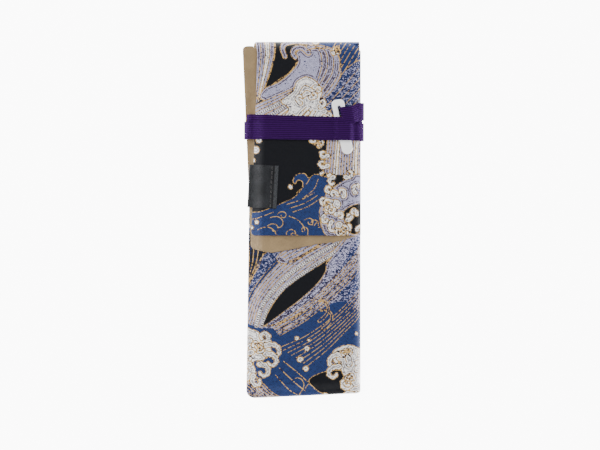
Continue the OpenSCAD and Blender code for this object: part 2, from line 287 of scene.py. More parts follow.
def draw_flap(loom):
    """The outer flap: a dark trough at the upper left, a great lilac wave curling over white foam,
    deep water on the right, and below the strap a black sky over a blue swell."""
    # water and flecks behind everything
    loom.area([(4, 96), (32, 96), (32, 42), (12, 42), (6, 60)], BLUE, edge=False)
    loom.lines([(17, 93), (9, 78), (4, 62)], [(34, 86), (24, 70), (12, 56)], 9)
    loom.area([(22, 78), (31, 80), (31, 48), (4, 44), (8, 60), (15, 68)], BLUE, fleck=1.0)
    loom.lines([(28, 78), (18, 66), (8, 55)], [(33, 66), (24, 58), (16, 50)], 4)
    # streams at the upper left and the dark trough
    loom.streams([(-29, 93), (-29, 78), (-28, 58)], [(-14.5, 94), (-16.5, 81), (-22.5, 62)],
                 [LILAC, FOAM, LILAC, LILAC, FOAM, LILAC], lines=1)
    loom.area([(-14, 94), (-9, 94), (-1, 91), (-3, 83), (-7.5, 76), (-14, 71.5), (-20.5, 66.5), (-18, 74),
               (-16, 81), (-14.6, 88)], NAVY)
    # the great wave's shoulder and its hanging curls
    loom.area([(-4, 86), (3, 90), (14, 88), (18.5, 81), (18, 73), (13, 65), (3, 57), (-10, 60), (-22, 62),
               (-21, 67), (-13, 71), (-7, 76), (-3.4, 81)], LILAC)
    loom.stroke([(6, 91), (-3, 92), (-9.5, 90.6), (-11, 87.5), (-10, 84)], 2.8, LILAC, taper=0.8)
    loom.stroke([(2, 86), (-1.2, 88.6), (-4.8, 88), (-6, 85.4), (-4.5, 83.4)], 2.8, LILAC, taper=0.75)
    loom.lines([(1, 87), (7, 88), (9, 80), (6.5, 71)], [(8, 90), (17, 86), (17, 74), (7, 60)], 4)
    loom.foam(6, 92, 5, 90, 5)
    loom.foam(15, 86, 4, 40, 4)
    # streams running down to the left from the foam
    loom.streams([(-5, 68), (-16, 63), (-28, 58)], [(0, 60), (-10, 50), (-26, 40)],
                 [LILAC, LILAC, LILAC, FOAM, LILAC], lines=2, hatched=(1, 2, 4))
    # breaking foam in the middle
    loom.area([(-6, 66), (-4, 71), (1, 73.5), (6, 71), (9, 66), (8, 61), (12, 56), (18, 50), (16, 42), (-6, 42),
               (-12, 50), (-8, 57), (-12, 61)], FOAM)
    loom.lines([(-3, 65), (0, 69), (5, 67)], [(-1, 62), (2, 64), (5, 62)], 3)
    loom.curls(2.2, [(5, 68, 6, 20, -230), (3, 63, 6, -20, 230), (8, 58, 7, 10, 230), (-2, 60, 7, 150, -220),
                     (2, 55, 7, 200, 220), (10, 53, 7, -30, 230), (16, 50, 6, 10, 200), (-6, 53, 7, 215, 200)])
    loom.lines([(1, 58), (-3, 54), (-10, 44)], [(6, 56), (2, 50), (-4, 43)], 4)
    # black sky under the strap
    loom.area([(-30, 46), (13, 46), (14, 38), (10.5, 31), (9.5, 22), (11, 17), (8, 13), (-2, 9), (-14, 6),
               (-30, 5)], NAVY)
    for drop in [(-23.5, 41, 1.6), (-25, 36, 1.9), (-26.4, 30.6, 1.1)]:
        loom.bubble(*drop)
    # lilac fall of water on the right
    loom.streams([(12, 45), (11, 33), (10, 24)], [(31, 46), (30, 33), (30, 22)],
                 [LILAC, LILAC, FOAM, LILAC, LILAC, LILAC, FOAM, LILAC], lines=2)
    loom.foam(8, 42, 5, 250, 4)
    loom.curls(2.4, [(6, 44, 8, 190, 220), (12, 33, 7, 210, -230), (12, 28, 8, 215, -220),
                     (13, 23, 9, 230, -230)])
    # the blue swell
    loom.area([(-32, 2), (-22, 4.5), (-13, 8), (-5.5, 11.5), (-1.5, 16), (-1, 19.5), (-3.6, 20.4), (-4.6, 18.6),
               (-6, 20), (-4, 23.2), (0, 23.8), (2.4, 21.4), (5, 23.4), (9, 22.5), (14, 18), (15, -12),
               (-32, -12)], BLUE)
    loom.bubble(-7.2, 17, 1.2)
    loom.lines([(-4, 14), (1, 18.5), (3, 22)], [(-1, 11), (5, 16), (7, 21)], 2)
    loom.lines([(-9, 8), (-1, 10.6), (5, 14)], [(-6, 4), (2, 7), (8, 11)], 3)
    loom.line([(-31, 0), (-24, 1), (-16, 4)])
    for fold in [(-18, 1, 13, 20, -200), (-14, 3, 10, 40, -300), (-24, -5, 16, 25, -190),
                 (-19, -3, 11, 30, -250), (-8, 2, 12, -20, -60), (0, 0, 10, 30, -300), (5, -3, 9, 60, -250),
                 (-10, -9, 12, 80, -260), (-8, -9, 8, 70, -280), (1, -8, 9, 60, 260), (7, -4, 9, 80, 240)]:
        loom.line(hook(*fold))
    for drop in [(-24.6, -1.2, 1.1), (-27, -4, 0.9)]:
        loom.bubble(*drop)
    # foam on the right, with dark water between
    loom.area([(14, 16), (31, 22), (31, -14), (15, -12), (9, -4), (8, 6)], LILAC)
    loom.area([(20, 4), (30, 8), (31, -4), (24, -7)], NAVY)
    loom.curls(2.4, [(15, 22, 7, 200, 220), (21, 22, 7, -10, 200), (14, 14, 7, 180, -240),
                     (17, 13, 6, 120, 220), (12, 8, 8, 190, -240), (20, 12, 7, 60, 230), (26, 14, 7, 120, -200),
                     (16, 3, 7, 30, -240), (22, 0, 6, 10, 240), (27, 3, 6, 100, 240), (14, -1, 8, 230, 200),
                     (20, -5, 7, -20, 220), (27, -5, 6, 60, -220), (10, 2, 6, 240, 220)])
    loom.foam(16, 8, 7, 200, 4)
    loom.foam(18, -3, 6, 300, 5)


def draw_front(loom):
    """The front leaf: lilac streams sweep up to the right past a black hollow; below them a blue
    swell with fine gold lines breaks into foam at both sides."""
    loom.area([(-34, -4), (34, -4), (34, -96), (-34, -96)], BLUE, edge=False, curved=False)
    loom.area([(-34, -60), (-34, -20), (-22, -8), (0, -6), (-14, -20), (-24, -36), (-28, -50)], BLUE,
              edge=False, fleck=1.0)
    loom.area([(-34, -8), (-14, -10), (-22, -20), (-28, -34), (-34, -40)], NAVY, fleck=0.6)
    loom.lines([(-28.5, -12), (-28, -22), (-30, -34)], [(-20, -14), (-23, -24), (-28, -32)], 5)
    # the sweep of lilac streams above the hollow
    loom.streams([(-32, -52), (-26, -36), (-12, -20), (6, -10), (24, -3)],
                 [(-20.5, -56), (-17, -45), (-5, -32), (12, -20), (24, -13)],
                 [BLUE, LILAC, LILAC, LILAC, LILAC, FOAM, LILAC, LILAC], lines=2, hatched=(5,), fleck=0.12)
    loom.area([(-14, -20), (-6, -13), (6, -9), (14, -9), (6, -15), (-4, -21), (-10, -23)], LILAC, fleck=0.35)
    loom.lines([(-12, -19), (-4, -14), (8, -9)], [(-8, -22), (0, -18), (10, -12)], 6)
    # the tongue of water and the flecked streams on the right
    loom.streams([(8, -26), (14, -18), (24, -6)], [(14, -30), (22, -20), (31, -6)],
                 [LILAC, LILAC, FOAM, LILAC], lines=2, hatched=(2,))
    loom.area([(31, -8), (31, -40), (14, -44), (-4, -54), (-21, -55), (-9, -46), (6, -33), (14, -22),
               (20, -14)], LILAC, edge=False, fleck=1.0)
    loom.area([(32, -8), (33, -46), (18, -41), (17, -30), (24, -16)], BLUE, edge=False, fleck=1.0)
    loom.streams([(-16, -55), (-4, -48), (10, -37), (22, -24), (31, -12)],
                 [(-12, -60), (2, -52), (16, -40), (26, -30), (32, -22)],
                 [LILAC, LILAC, BLUE, LILAC, BLUE], lines=1, fleck=0.9)
    # the black hollow
    loom.area([(-20.5, -54.5), (-17, -46), (-10, -36.5), (0, -29), (9, -23.5), (15.5, -18.5), (11.5, -23),
               (11, -27.5), (7, -33.5), (-1, -41), (-9, -47), (-16, -52)], NAVY)
    loom.braid([(-21.3, -54.5), (-17.8, -45), (-10.6, -35.6), (0, -28), (15.5, -17.8)], 1.3)
    # fine gold lines on the swell
    sweep = [(-12, -66), (2, -60), (16, -50), (30, -36)], [(2, -76), (12, -68), (22, -58), (32, -48)]
    loom.lines(*sweep, 8)
    loom.line([(-19, -55), (-8, -52), (4, -46)])
    loom.stroke(hook(10, -57, 15, 35, 170), 1.6, BLUE)
    loom.stroke(hook(8, -53, 15, 35, 150), 1.6, BLUE)
    # lower left: flecked streams run down to the right
    loom.streams([(-33, -74), (-24, -80), (-12, -93)], [(-33, -90), (-29, -93), (-26, -98)],
                 [BLUE, LILAC, BLUE, BLUE, NAVY], lines=2, fleck=0.8)
    loom.lines([(-10, -73), (-2, -80), (4, -86)], [(-14, -80), (-7, -88), (-2, -92)], 3)
    loom.line(hook(-3, -91, 13, 40, 150))
    loom.line(hook(1, -88, 9, 70, -200))
    # black water at the lower right
    loom.area([(3, -83), (12, -79), (22, -80), (24, -88), (18, -94), (10, -91), (6, -88)], NAVY)
    loom.bubble(10.6, -92, 1.6)
    # foam on the left
    loom.area([(-33, -57), (-24, -57), (-19, -62), (-16, -68), (-20, -72), (-25, -73), (-24, -80),
               (-33, -82)], FOAM)
    loom.curls(2.9, [(-18, -63, 10, 75, 240), (-20, -65, 17, 18, -250), (-19, -69, 14, 0, -245),
                     (-22, -74, 13, -12, -240), (-27, -62, 10, 200, 240), (-26, -68, 10, 185, 250),
                     (-27, -74, 9, 180, 240), (-25, -80, 10, 250, 230)])
    loom.foam(-25, -67, 6, 40, 5, body=False)
    # foam on the right
    loom.area([(16, -68), (24, -66), (32, -72), (32, -93), (25, -93), (21, -84), (18, -77), (14, -73)], FOAM)
    loom.curls(2.9, [(23, -76, 17, 95, 260), (20, -71, 16, 170, 250), (18, -77, 13, 178, 250),
                     (24, -82, 14, 200, 240), (29, -89, 12, 170, 240), (29, -71, 10, 60, -240),
                     (27, -79, 9, 20, 250), (25, -92, 9, 150, 230)])
    loom.foam(22, -72, 5, 100, 4, body=False)
    loom.foam(25, -86, 6, 140, 5, body=False)
    for drop in [(-3.4, -61.6, 1.1), (2.7, -62.7, 0.8), (1.7, -67, 1.4), (-1.6, -72.5, 1.5), (1.2, -77.3, 1.4),
                 (-10, -52, 0.6), (27, -60, 0.9)]:
        loom.bubble(*drop)


def draw_back(loom):
    """The back: the same sea, with foam where the two drawings meet."""
    draw_flap(loom)
    draw_front(loom)
    for x in range(-27, 30, 6):
        loom.curl(x, -7 + 2 * math.sin(x), 7, 60 + 3 * x, 230 if x % 4 else -230, 2.6)


def draw_leaf(loom):
    """The front leaf, with the flap's sea, mirrored, where the flap covers it."""
    flat = loom.at
    loom.at = flat * (-1, 1)
    draw_flap(loom)
    loom.at = flat
    draw_front(loom)


# ---- The brocade's threads ----------------------------------------------------------------------
# Warp and weft of fine silk. The ground threads float over each other as satin or twill, and the
# thicker gold outline thread lies on top of them and dips under here and there.


def maths(tree, operation, first, second=0.0):
    """One sum, worked out in the shader."""
    return add(tree, "ShaderNodeMath", {0: first, 1: second}, operation=operation).outputs[0]


def times(tree, first, second):
    return maths(tree, "MULTIPLY", first, second)


def plus(tree, first, second):
    return maths(tree, "ADD", first, second)


def less(tree, first, second):
    return maths(tree, "SUBTRACT", first, second)


def ramp(tree, value, start, end, low=0.0, high=1.0):
    """Maps value from start..end to low..high, smoothly."""
    sockets = {"Value": value, "From Min": start, "From Max": end, "To Min": low, "To Max": high}
    return add(tree, "ShaderNodeMapRange", sockets, interpolation_type="SMOOTHSTEP").outputs[0]


def noise(tree, place, scale, detail, **more):
    """Soft cloudy unevenness."""
    return add(tree, "ShaderNodeTexNoise", {"Vector": place, "Scale": scale, "Detail": detail, **more})


def emboss(tree, shader, height, strength, distance, over=None):
    """Raises the surface by a height, over another raised surface if there is one."""
    raised = add(tree, "ShaderNodeBump", {"Height": height, "Strength": strength, "Distance": distance})
    if over:
        tree.links.new(over.outputs[0], raised.inputs["Normal"])
    tree.links.new(raised.outputs[0], shader.inputs["Normal"])


def weave_group():
    """Plain weave: little pillows of warp and weft, and threads that are not all alike."""
    group = bpy.data.node_groups.new("plain_weave", "ShaderNodeTree")
    for socket, kind in [("Place", "NodeSocketVector"), ("Pitch", "NodeSocketFloat")]:
        group.interface.new_socket(socket, in_out="INPUT", socket_type=kind)
    for socket in ("Height", "Unevenness"):
        group.interface.new_socket(socket, in_out="OUTPUT", socket_type="NodeSocketFloat")
    given, taken = group.nodes.new("NodeGroupInput"), group.nodes.new("NodeGroupOutput")
    parts = add(group, "ShaderNodeSeparateXYZ", {0: given.outputs["Place"]})
    turn = maths(group, "DIVIDE", math.pi, given.outputs["Pitch"])
    waves = [maths(group, "SINE", times(group, parts.outputs[i], turn)) for i in (0, 1)]
    pillow = maths(group, "ABSOLUTE", times(group, *waves))
    group.links.new(maths(group, "POWER", pillow, 0.5), taken.inputs["Height"])
    slubs = add(group, "ShaderNodeTexNoise", {"Vector": add(
        group, "ShaderNodeVectorMath", {0: given.outputs["Place"], 1: (1.0, 0.12, 1.0)},
        operation="MULTIPLY").outputs[0], "Scale": 900.0, "Detail": 2.0})
    group.links.new(slubs.outputs[0], taken.inputs["Unevenness"])
    return group


PLAIN_WEAVE = weave_group()


def woven(tree, pitch):
    """The weave at a pitch in mm, on the cloth's own measure."""
    place = add(tree, "ShaderNodeUVMap", uv_map="cloth").outputs[0]
    return add(tree, "ShaderNodeGroup", {"Place": place, "Pitch": pitch / 100}, node_tree=PLAIN_WEAVE)


def brocade_finish():
    """Satin ground, twisted gold outlines, hatching and flecks, each raised as the threads lie."""
    material, tree, shader = finish_of("brocade", roughness=0.65, specular_ior_level=0.15)
    tint = add(tree, "ShaderNodeAttribute", attribute_name="tint").outputs["Color"]
    gold, hatch, along, fleck = (add(tree, "ShaderNodeAttribute", attribute_name=name).outputs["Fac"]
                                 for name in ("gold", "hatch", "along", "fleck"))
    weave = woven(tree, 0.35)
    place = add(tree, "ShaderNodeUVMap", uv_map="cloth").outputs[0]
    lightness = add(tree, "ShaderNodeRGBToBW", {0: tint}).outputs[0]
    coloured, bright = ramp(tree, lightness, 0.012, 0.04), ramp(tree, lightness, 0.1, 0.3)

    def floats(across, along_it, scale):
        """Single floats of the weft, each with its own chance of another colour."""
        stretched = add(tree, "ShaderNodeVectorMath", {0: place, 1: (across, along_it, 1.0)},
                        operation="MULTIPLY")
        cells = add(tree, "ShaderNodeTexVoronoi", {"Vector": stretched.outputs[0], "Scale": scale})
        return add(tree, "ShaderNodeSeparateColor", {0: cells.outputs["Color"]}).outputs

    # satin: the ground's threads differ, and a twill runs through the lighter ones
    parts = add(tree, "ShaderNodeSeparateXYZ", {0: place})
    twill = maths(tree, "SINE", times(tree, less(tree, *parts.outputs[:2]), 2 * math.pi / 0.0125))
    chance = floats(1.0, 1.5, 170.0)
    shade = plus(tree, ramp(tree, weave.outputs["Unevenness"], 0.3, 0.7, 0.72, 1.12),
                 times(tree, twill, 0.10))
    shade = plus(tree, shade, times(tree, less(tree, chance[1], 0.5), 0.45))
    ground = mix(tree, 1.0, tint, shade, "MULTIPLY")
    flecks = maths(tree, "MAXIMUM", fleck, less(tree, times(tree, coloured, 0.2),
                                                times(tree, bright, 0.08)))
    pale = times(tree, coloured, maths(tree, "LESS_THAN", chance[0], times(tree, fleck, 0.30)))
    dark = maths(tree, "GREATER_THAN", chance[0], less(tree, 1.0, times(tree, flecks, 0.46)))
    ground = mix(tree, pale, ground, rgba(LILAC * 1.25))
    ground = mix(tree, dark, ground, rgba(dye(24, 32, 66)))
    # hatching: brown threads across a pale cord
    bars = maths(tree, "SINE", times(tree, along, 2 * math.pi / 1.1))
    hatched = times(tree, ramp(tree, bars, -0.3, 0.3), ramp(tree, hatch, 0.35, 0.65))
    ground = mix(tree, hatched, ground, rgba(dye(58, 40, 40)))
    # an echo of each outline runs beside it on the lighter grounds
    echo = times(tree, bright, ramp(tree, maths(tree, "ABSOLUTE", less(tree, gold, 1.05)), 0.36, 0.16))
    echo = times(tree, echo, ramp(tree, lightness, 0.45, 0.7, 1.0, 0.7))
    spots = floats(1.0, 1.0, 165.0)[0]
    ground = mix(tree, times(tree, echo, ramp(tree, spots, 0.14, 0.2)), ground, rgba(dye(62, 48, 54)))
    # the outline thread: gold, dipping under dark ground threads
    dips = less(tree, spots, times(tree, bright, 0.12))
    thread = mix(tree, ramp(tree, dips, 0.3, 0.36), rgba(dye(46, 34, 38)), rgba(dye(186, 148, 88)))
    outline = ramp(tree, less(tree, gold, times(tree, bright, 0.07)), 0.31, 0.15)
    tree.links.new(mix(tree, outline, ground, thread), shader.inputs["Base Color"])
    tree.links.new(ramp(tree, outline, 0.0, 1.0, 0.6, 0.42), shader.inputs["Roughness"])
    height = plus(tree, times(tree, weave.outputs["Height"], 0.25),
                  plus(tree, times(tree, outline, 0.9), times(tree, hatched, 0.4)))
    emboss(tree, shader, height, 0.6, 0.0002)
    return material


BROCADE = brocade_finish()


def dress(piece, finish):
    """Gives a piece its material."""
    piece.data.materials.append(finish)


def figure(piece, points, draw, ground):
    """Weaves a panel's figure into a cloth, as attributes on its points."""
    loom = Loom(points, ground)
    draw(loom)
    mesh = piece.data
    mesh.attributes.new("tint", "FLOAT_COLOR", "POINT").data.foreach_set(
        "color", np.hstack([loom.tint, np.ones((len(points), 1))]).astype(np.float32).ravel())
    for name in ("gold", "hatch", "along", "fleck"):
        values = np.minimum(getattr(loom, name), 400).astype(np.float32)
        mesh.attributes.new(name, "FLOAT", "POINT").data.foreach_set("value", values)
    dress(piece, BROCADE)


# ---- The case's brocade -------------------------------------------------------------------------
# One cloth covers the whole case outside: across the back, round the side fold and over the front
# leaf. Its raw edges are turned in over the padding and sewn to the lining.

CASE_LOW = -92.0                    # the bottom edge, in mm
LEAF_T, FRONT_TOP = 2.9, 10.9       # a padded leaf, and the top of the two closed leaves
SPINE_R, SPINE_X = 5.45, 23.55      # the side fold
FOLD_Y = 85.05                      # where both leaves end and the top fold begins
LEAF, SPINE = 52.0, math.pi * SPINE_R   # the cloth's width on a leaf, and round the side fold


def between(a, b, share):
    """The value a share of the way from a to b."""
    return a + (b - a) * share


def eased(value):
    """0 to 1, setting off and arriving softly."""
    value = np.clip(value, 0, 1)
    return value * value * (3 - 2 * value)


def free_edge(y):
    """Where the leaves' free edges run, leaning a little inwards towards the top."""
    return -30.1 + 2.7 * (y - CASE_LOW) / 184


def turned_in(rim, drop, reach):
    """How far a cloth's face falls away where its edge is turned in over the padding."""
    near = 1 - np.clip(rim / reach, 0, 1)
    return drop * (1 - np.sqrt(1 - near * near))


def settle(x, y, z):
    """The whole stack, as it lies: thinner beyond the pockets, nipped by the strap, softly uneven."""
    bottom = CASE_LOW + 2.3 * np.clip((x + 29) / 53, 0, 1)
    full = between(0.62, 1, eased((x - free_edge(y)) / 8)) * between(0.66, 1, eased((y - bottom) / 8))
    full = between(full, 1, eased((y - 58) / 20))
    z = np.where(z > LEAF_T, LEAF_T + (z - LEAF_T) * full, z)
    nip = np.exp(-(np.abs(y - 49.5) / 9.5) ** 4)
    z = z + 1.6 * nip * np.clip(1 - z / LEAF_T, 0, 1) - 0.5 * nip * np.clip((z - 8) / 5, 0, 1)
    swell = 0.5 + 0.28 * np.sin(x / 8.3 + y / 31 + 1) + 0.22 * np.sin(y / 10.7 - x / 19)
    z = z - 0.45 * swell * np.clip((z - 3) / 9, 0, 1)
    round_top = SPINE_R + np.sqrt(np.clip(SPINE_R**2 - np.clip(x - SPINE_X, 0, SPINE_R) ** 2, 0, None))
    return x, y, z - 0.7 * np.minimum(FRONT_TOP - round_top, 2.6) * (z > 11.0)


def cloth(name, columns, rows, lay):
    """A cloth woven with threads at these flat places in mm, laid by lay(u, v), which gives x, y, z in mm.
    Returns the object and the u and v of each of its vertices."""
    shape = bmesh.new()
    bmesh.ops.create_grid(shape, x_segments=len(columns) - 1, y_segments=len(rows) - 1, size=1)
    piece = made_of(shape, name)
    mesh = piece.data
    flat = np.empty(len(mesh.vertices) * 3)
    mesh.vertices.foreach_get("co", flat)
    flat = flat.reshape(-1, 3)
    u = np.asarray(columns)[np.rint((flat[:, 0] + 1) / 2 * (len(columns) - 1)).astype(int)]
    v = np.asarray(rows)[np.rint((flat[:, 1] + 1) / 2 * (len(rows) - 1)).astype(int)]
    placed = np.stack(lay(u, v), 1) / 1000
    mesh.vertices.foreach_set("co", placed.ravel())
    corner = np.empty(len(mesh.loops), int)
    mesh.loops.foreach_get("vertex_index", corner)
    layer = mesh.uv_layers.new(name="cloth")
    layer.data.foreach_set("uv", np.stack([u[corner], v[corner]], 1).ravel() / 100)
    mesh.shade_smooth()
    mesh.update()
    return piece, u, v


def threads(start, end, pitch):
    """Places from start to end, about a pitch apart."""
    return np.linspace(start, end, max(2, round(abs(end - start) / pitch) + 1))


def flip(piece):
    """Turns a cloth's faces to its other side."""
    piece.data.flip_normals()


def on_case(u, v, depth, level=0.0):
    """A place on the case. u runs from the back leaf's free edge round the side fold and across the
    front leaf, v from the bottom edge up. depth is how far in from the brocade's face, as a
    function of the distance to the edge."""
    turn = np.clip((u - LEAF) / SPINE, 0, 1) * math.pi
    share = np.clip(np.where(u > LEAF + SPINE, 2 * LEAF + SPINE - u, u) / LEAF, 0, 1)
    low = CASE_LOW + 2.3 * share
    y = low + (FOLD_Y + 2.1 * turn / math.pi - low) * v / 177
    gone = np.clip(4 - (y - low), 0, 4)
    left = free_edge(y) + 4 - np.sqrt(16 - gone**2)
    x = left + (SPINE_X - left) * share
    inwards = depth(np.minimum(x - left, y - low))
    x = x + (SPINE_R - inwards) * np.sin(turn)
    return settle(x, y, SPINE_R - (SPINE_R - inwards) * np.cos(turn))


def brocade_face(rim):
    """How far in the brocade's own face lies: only its turned-in edge falls away."""
    return turned_in(rim, 1.9, 1.7)


back_cloth, u, v = cloth("back_brocade_cloth", threads(0, LEAF, 0.5), threads(0, 177, 0.55),
                         lambda u, v: on_case(u, v, brocade_face))
flip(back_cloth)
figure(back_cloth, np.stack([23.5 - u, v - 92], 1), draw_back, BLUE)
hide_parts("back_brocade")
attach(back_cloth, "back_leaf")

rows = np.concatenate([threads(0, 86, 0.42), threads(86.5, 177, 0.9)])
front_cloth, u, v = cloth("front_brocade_cloth", threads(LEAF + SPINE - 0.01, 2 * LEAF + SPINE, 0.41), rows,
                          lambda u, v: on_case(u, v, brocade_face))
flip(front_cloth)
figure(front_cloth, np.stack([LEAF + SPINE + 23.5 - u, v * 178 / 177 - 91.5], 1), draw_leaf, BLUE)
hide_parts("front_brocade")
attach(front_cloth, "front_leaf")

side_fold, u, v = cloth("side_fold_brocade_cloth", threads(LEAF - 0.01, LEAF + SPINE, 0.5), rows,
                        lambda u, v: on_case(u, v, brocade_face))
flip(side_fold)
figure(side_fold, np.stack([LEAF + SPINE + 23.5 - u, v * 178 / 177 - 91.5], 1), draw_leaf, BLUE)
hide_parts("spine_brocade")
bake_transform(side_fold)

# ---- The case's lining and padding --------------------------------------------------------------
# Plain khaki cotton lines the case, over a thin felt that gives the leaves their body.


def khaki_finish(name, colour, pitch):
    """Plain cotton, a little creased, with the shade of the hollows between its threads and of its creases
    painted into its colour.
    """
    material, tree, shader = finish_of(name, roughness=0.85, sheen_weight=0.1)
    weave = woven(tree, pitch)
    # the weave's unevenness is the threads' own tone; the darkening where the weave is low, between the
    # threads, is painted shade
    shade = times(tree, ramp(tree, weave.outputs["Unevenness"], 0.3, 0.7, 0.86, 1.1),
                  ramp(tree, weave.outputs["Height"], 0.0, 1.0, 0.82, 1.05))
    place = add(tree, "ShaderNodeTexCoord").outputs["Object"]
    creases_and_shade = noise(tree, place, 95.0, 3.0, Distortion=0.6)
    # painted shade: the creases' noise also darkens and lightens the colour, as the creases' shading
    shade = times(tree, shade, ramp(tree, creases_and_shade.outputs[0], 0.3, 0.7, 0.84, 1.08))
    tree.links.new(mix(tree, 1.0, rgba(colour), shade, "MULTIPLY"), shader.inputs["Base Color"])
    creased = add(tree, "ShaderNodeBump", {"Height": creases_and_shade.outputs[0], "Strength": 0.5, "Distance": 0.0025})
    emboss(tree, shader, weave.outputs["Height"], 0.6, 0.00012, creased)
    return material


KHAKI = khaki_finish("khaki_lining", dye(143, 120, 87), 0.32)


def lining_face(rim):
    """How far in the lining lies, inside the brocade and the felt."""
    return LEAF_T - turned_in(rim, 1.0, 1.2)


back_lining, u, v = cloth("back_lining_cloth", threads(0, LEAF, 1.0), threads(0, 177, 1.2),
                          lambda u, v: on_case(u, v, lining_face))
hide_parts("back_lining")
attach(back_lining, "back_leaf")

front_lining, u, v = cloth("front_lining_cloth", threads(LEAF + SPINE, 2 * LEAF + SPINE, 1.0),
                           threads(0, 177, 1.2), lambda u, v: on_case(u, v, lining_face))
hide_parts("front_lining")
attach(front_lining, "front_leaf")

fold_lining, u, v = cloth("side_fold_lining_cloth", threads(LEAF, LEAF + SPINE, 1.0), threads(0, 177, 1.2),
                          lambda u, v: on_case(u, v, lining_face))
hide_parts("spine_lining")
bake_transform(fold_lining)
for piece in (back_lining, front_lining, fold_lining):
    dress(piece, KHAKI)

FELT, tree, shader = finish_of("felt", roughness=0.95, sheen_weight=0.3)
place = add(tree, "ShaderNodeTexCoord").outputs["Object"]
fibres = noise(tree, place, 2600.0, 4.0, Roughness=0.7)
clumps = add(tree, "ShaderNodeTexNoise", {"Vector": place, "Scale": 260.0})
both = times(tree, fibres.outputs[0], clumps.outputs[0])
tree.links.new(mix(tree, ramp(tree, both, 0.1, 0.4), (0.60, 0.58, 0.54, 1), (0.80, 0.78, 0.74, 1)),
               shader.inputs["Base Color"])
emboss(tree, shader, fibres.outputs[0], 0.5, 0.0003)


def thicken(piece, thickness, side):
    """Gives a cloth its thickness: side is 0 for both sides, and -1 for the one away from its face."""
    solid = piece.modifiers.new("thickness", "SOLIDIFY")
    solid.thickness, solid.offset = thickness, side


def felt_layer(name, start, end):
    """A layer of felt, inset from the case's edge and pressed flat there."""
    pad, u, v = cloth(name, threads(start, end, 1.6), threads(3.4, 173.5, 1.8),
                      lambda u, v: on_case(u, v, lambda rim: 2.1 + 0 * rim))
    thicken(pad, 0.0008, -1)
    pad.data.materials.append(FELT)
    return pad


back_felt = felt_layer("back_felt", 3.5, LEAF - 0.1)
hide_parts("back_padding")
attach(back_felt, "back_leaf")
front_felt = felt_layer("front_felt", LEAF + SPINE + 0.1, 2 * LEAF + SPINE - 3.5)
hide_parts("front_padding")
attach(front_felt, "front_leaf")
fold_felt = felt_layer("side_fold_felt", LEAF, LEAF + SPINE)
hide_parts("spine_padding")
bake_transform(fold_felt)

# ---- The outer flap -----------------------------------------------------------------------------
# The back of the case runs on over the top and down the front as a flap, brocade outside and
# lining within, with its hem and its free edge turned in.

TOP_R = 6.95
TOP_FOLD = math.pi * TOP_R
HEM_Y, FLAP_X = -8.0, 27.65
FLAP_LONG = TOP_FOLD + FOLD_Y - HEM_Y


def on_flap(u, v, depth):
    """A place on the outer flap: u is its share across, v the length from the back leaf's top."""
    turn = np.clip(v / TOP_FOLD, 0, 1) * math.pi
    down = np.clip(v - TOP_FOLD, 0, None)
    y = FOLD_Y - down
    share = turn / math.pi
    left = between(-27.2, -24.2, share) - 3.3 * down / (FOLD_Y - HEM_Y)
    gone = np.clip(2 - (y - HEM_Y), 0, 2)
    left = left + 2 - np.sqrt(4 - gone**2)
    right = between(28.9, FLAP_X, share)
    x = left + (right - left) * u
    edge = np.minimum(x - left, y - HEM_Y)
    inwards = depth(np.where(down > 0, edge, np.minimum(x - left, right + 0.9 * share - x)))
    y = y + (TOP_R - inwards) * np.sin(turn)
    return settle(x, y, TOP_R - (TOP_R - inwards) * np.cos(turn))


def flap_place(u, v):
    """Where a point of the flap lies in the drawing: as it is seen from above, then on over the fold."""
    turn = np.clip(v / TOP_FOLD, 0, 1) * math.pi
    down = np.clip(v - TOP_FOLD, 0, None)
    left = -24.2 - 3.3 * down / (FOLD_Y - HEM_Y)
    seen = np.where(turn < math.pi / 2, 92 + TOP_R * (math.pi / 2 - turn), FOLD_Y + TOP_R * np.sin(turn))
    return np.stack([left + (FLAP_X - left) * u, seen - down], 1)


def flap_layer(name, stretch, pitch, depth):
    """One layer of the flap or of the top fold, over a stretch of its length."""
    layer, u, v = cloth(name, threads(0, 1, pitch / 54), threads(*stretch, pitch),
                        lambda u, v: on_flap(u, v, depth))
    uv = np.empty(len(layer.data.loops) * 2)
    layer.data.uv_layers["cloth"].data.foreach_get("uv", uv)
    layer.data.uv_layers["cloth"].data.foreach_set("uv", (uv.reshape(-1, 2) * (54, 1)).ravel())
    return layer, u, v


FLAT_FLAP, ROUND_TOP = (TOP_FOLD, FLAP_LONG), (0, TOP_FOLD)
for part, stretch, size in (("flap", FLAT_FLAP, (0.053, 0.093)), ("top_fold", ROUND_TOP, (0.0545, 0.0219))):
    outside, u, v = flap_layer(part + "_brocade_cloth", stretch, 0.42, lambda rim: turned_in(rim, 0.55, 0.8))
    figure(outside, flap_place(u, v), draw_flap, NAVY)
    flip(outside)
    inside, _, _ = flap_layer(part + "_lining_cloth", stretch, 1.0, lambda rim: 0.9 - turned_in(rim, 0.35, 0.8))
    dress(inside, KHAKI)
    if part == "flap":
        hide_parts("outer_flap_brocade")
        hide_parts("outer_flap_lining")
        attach(outside, "outer_flap")
        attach(inside, "outer_flap")
    else:
        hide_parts("top_fold_brocade")
        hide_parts("top_fold_lining")
        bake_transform(outside)
        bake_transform(inside)

# ---- The under flap -----------------------------------------------------------------------------
# The front leaf's own flap lies under the outer one, lining upwards, joined to it along the side
# by a small fold. It shows as a khaki border along the outer flap's hem and free edge.

SIDE_R = 1.35
SIDE_FOLD = math.pi * SIDE_R
UNDER_W = 56.0


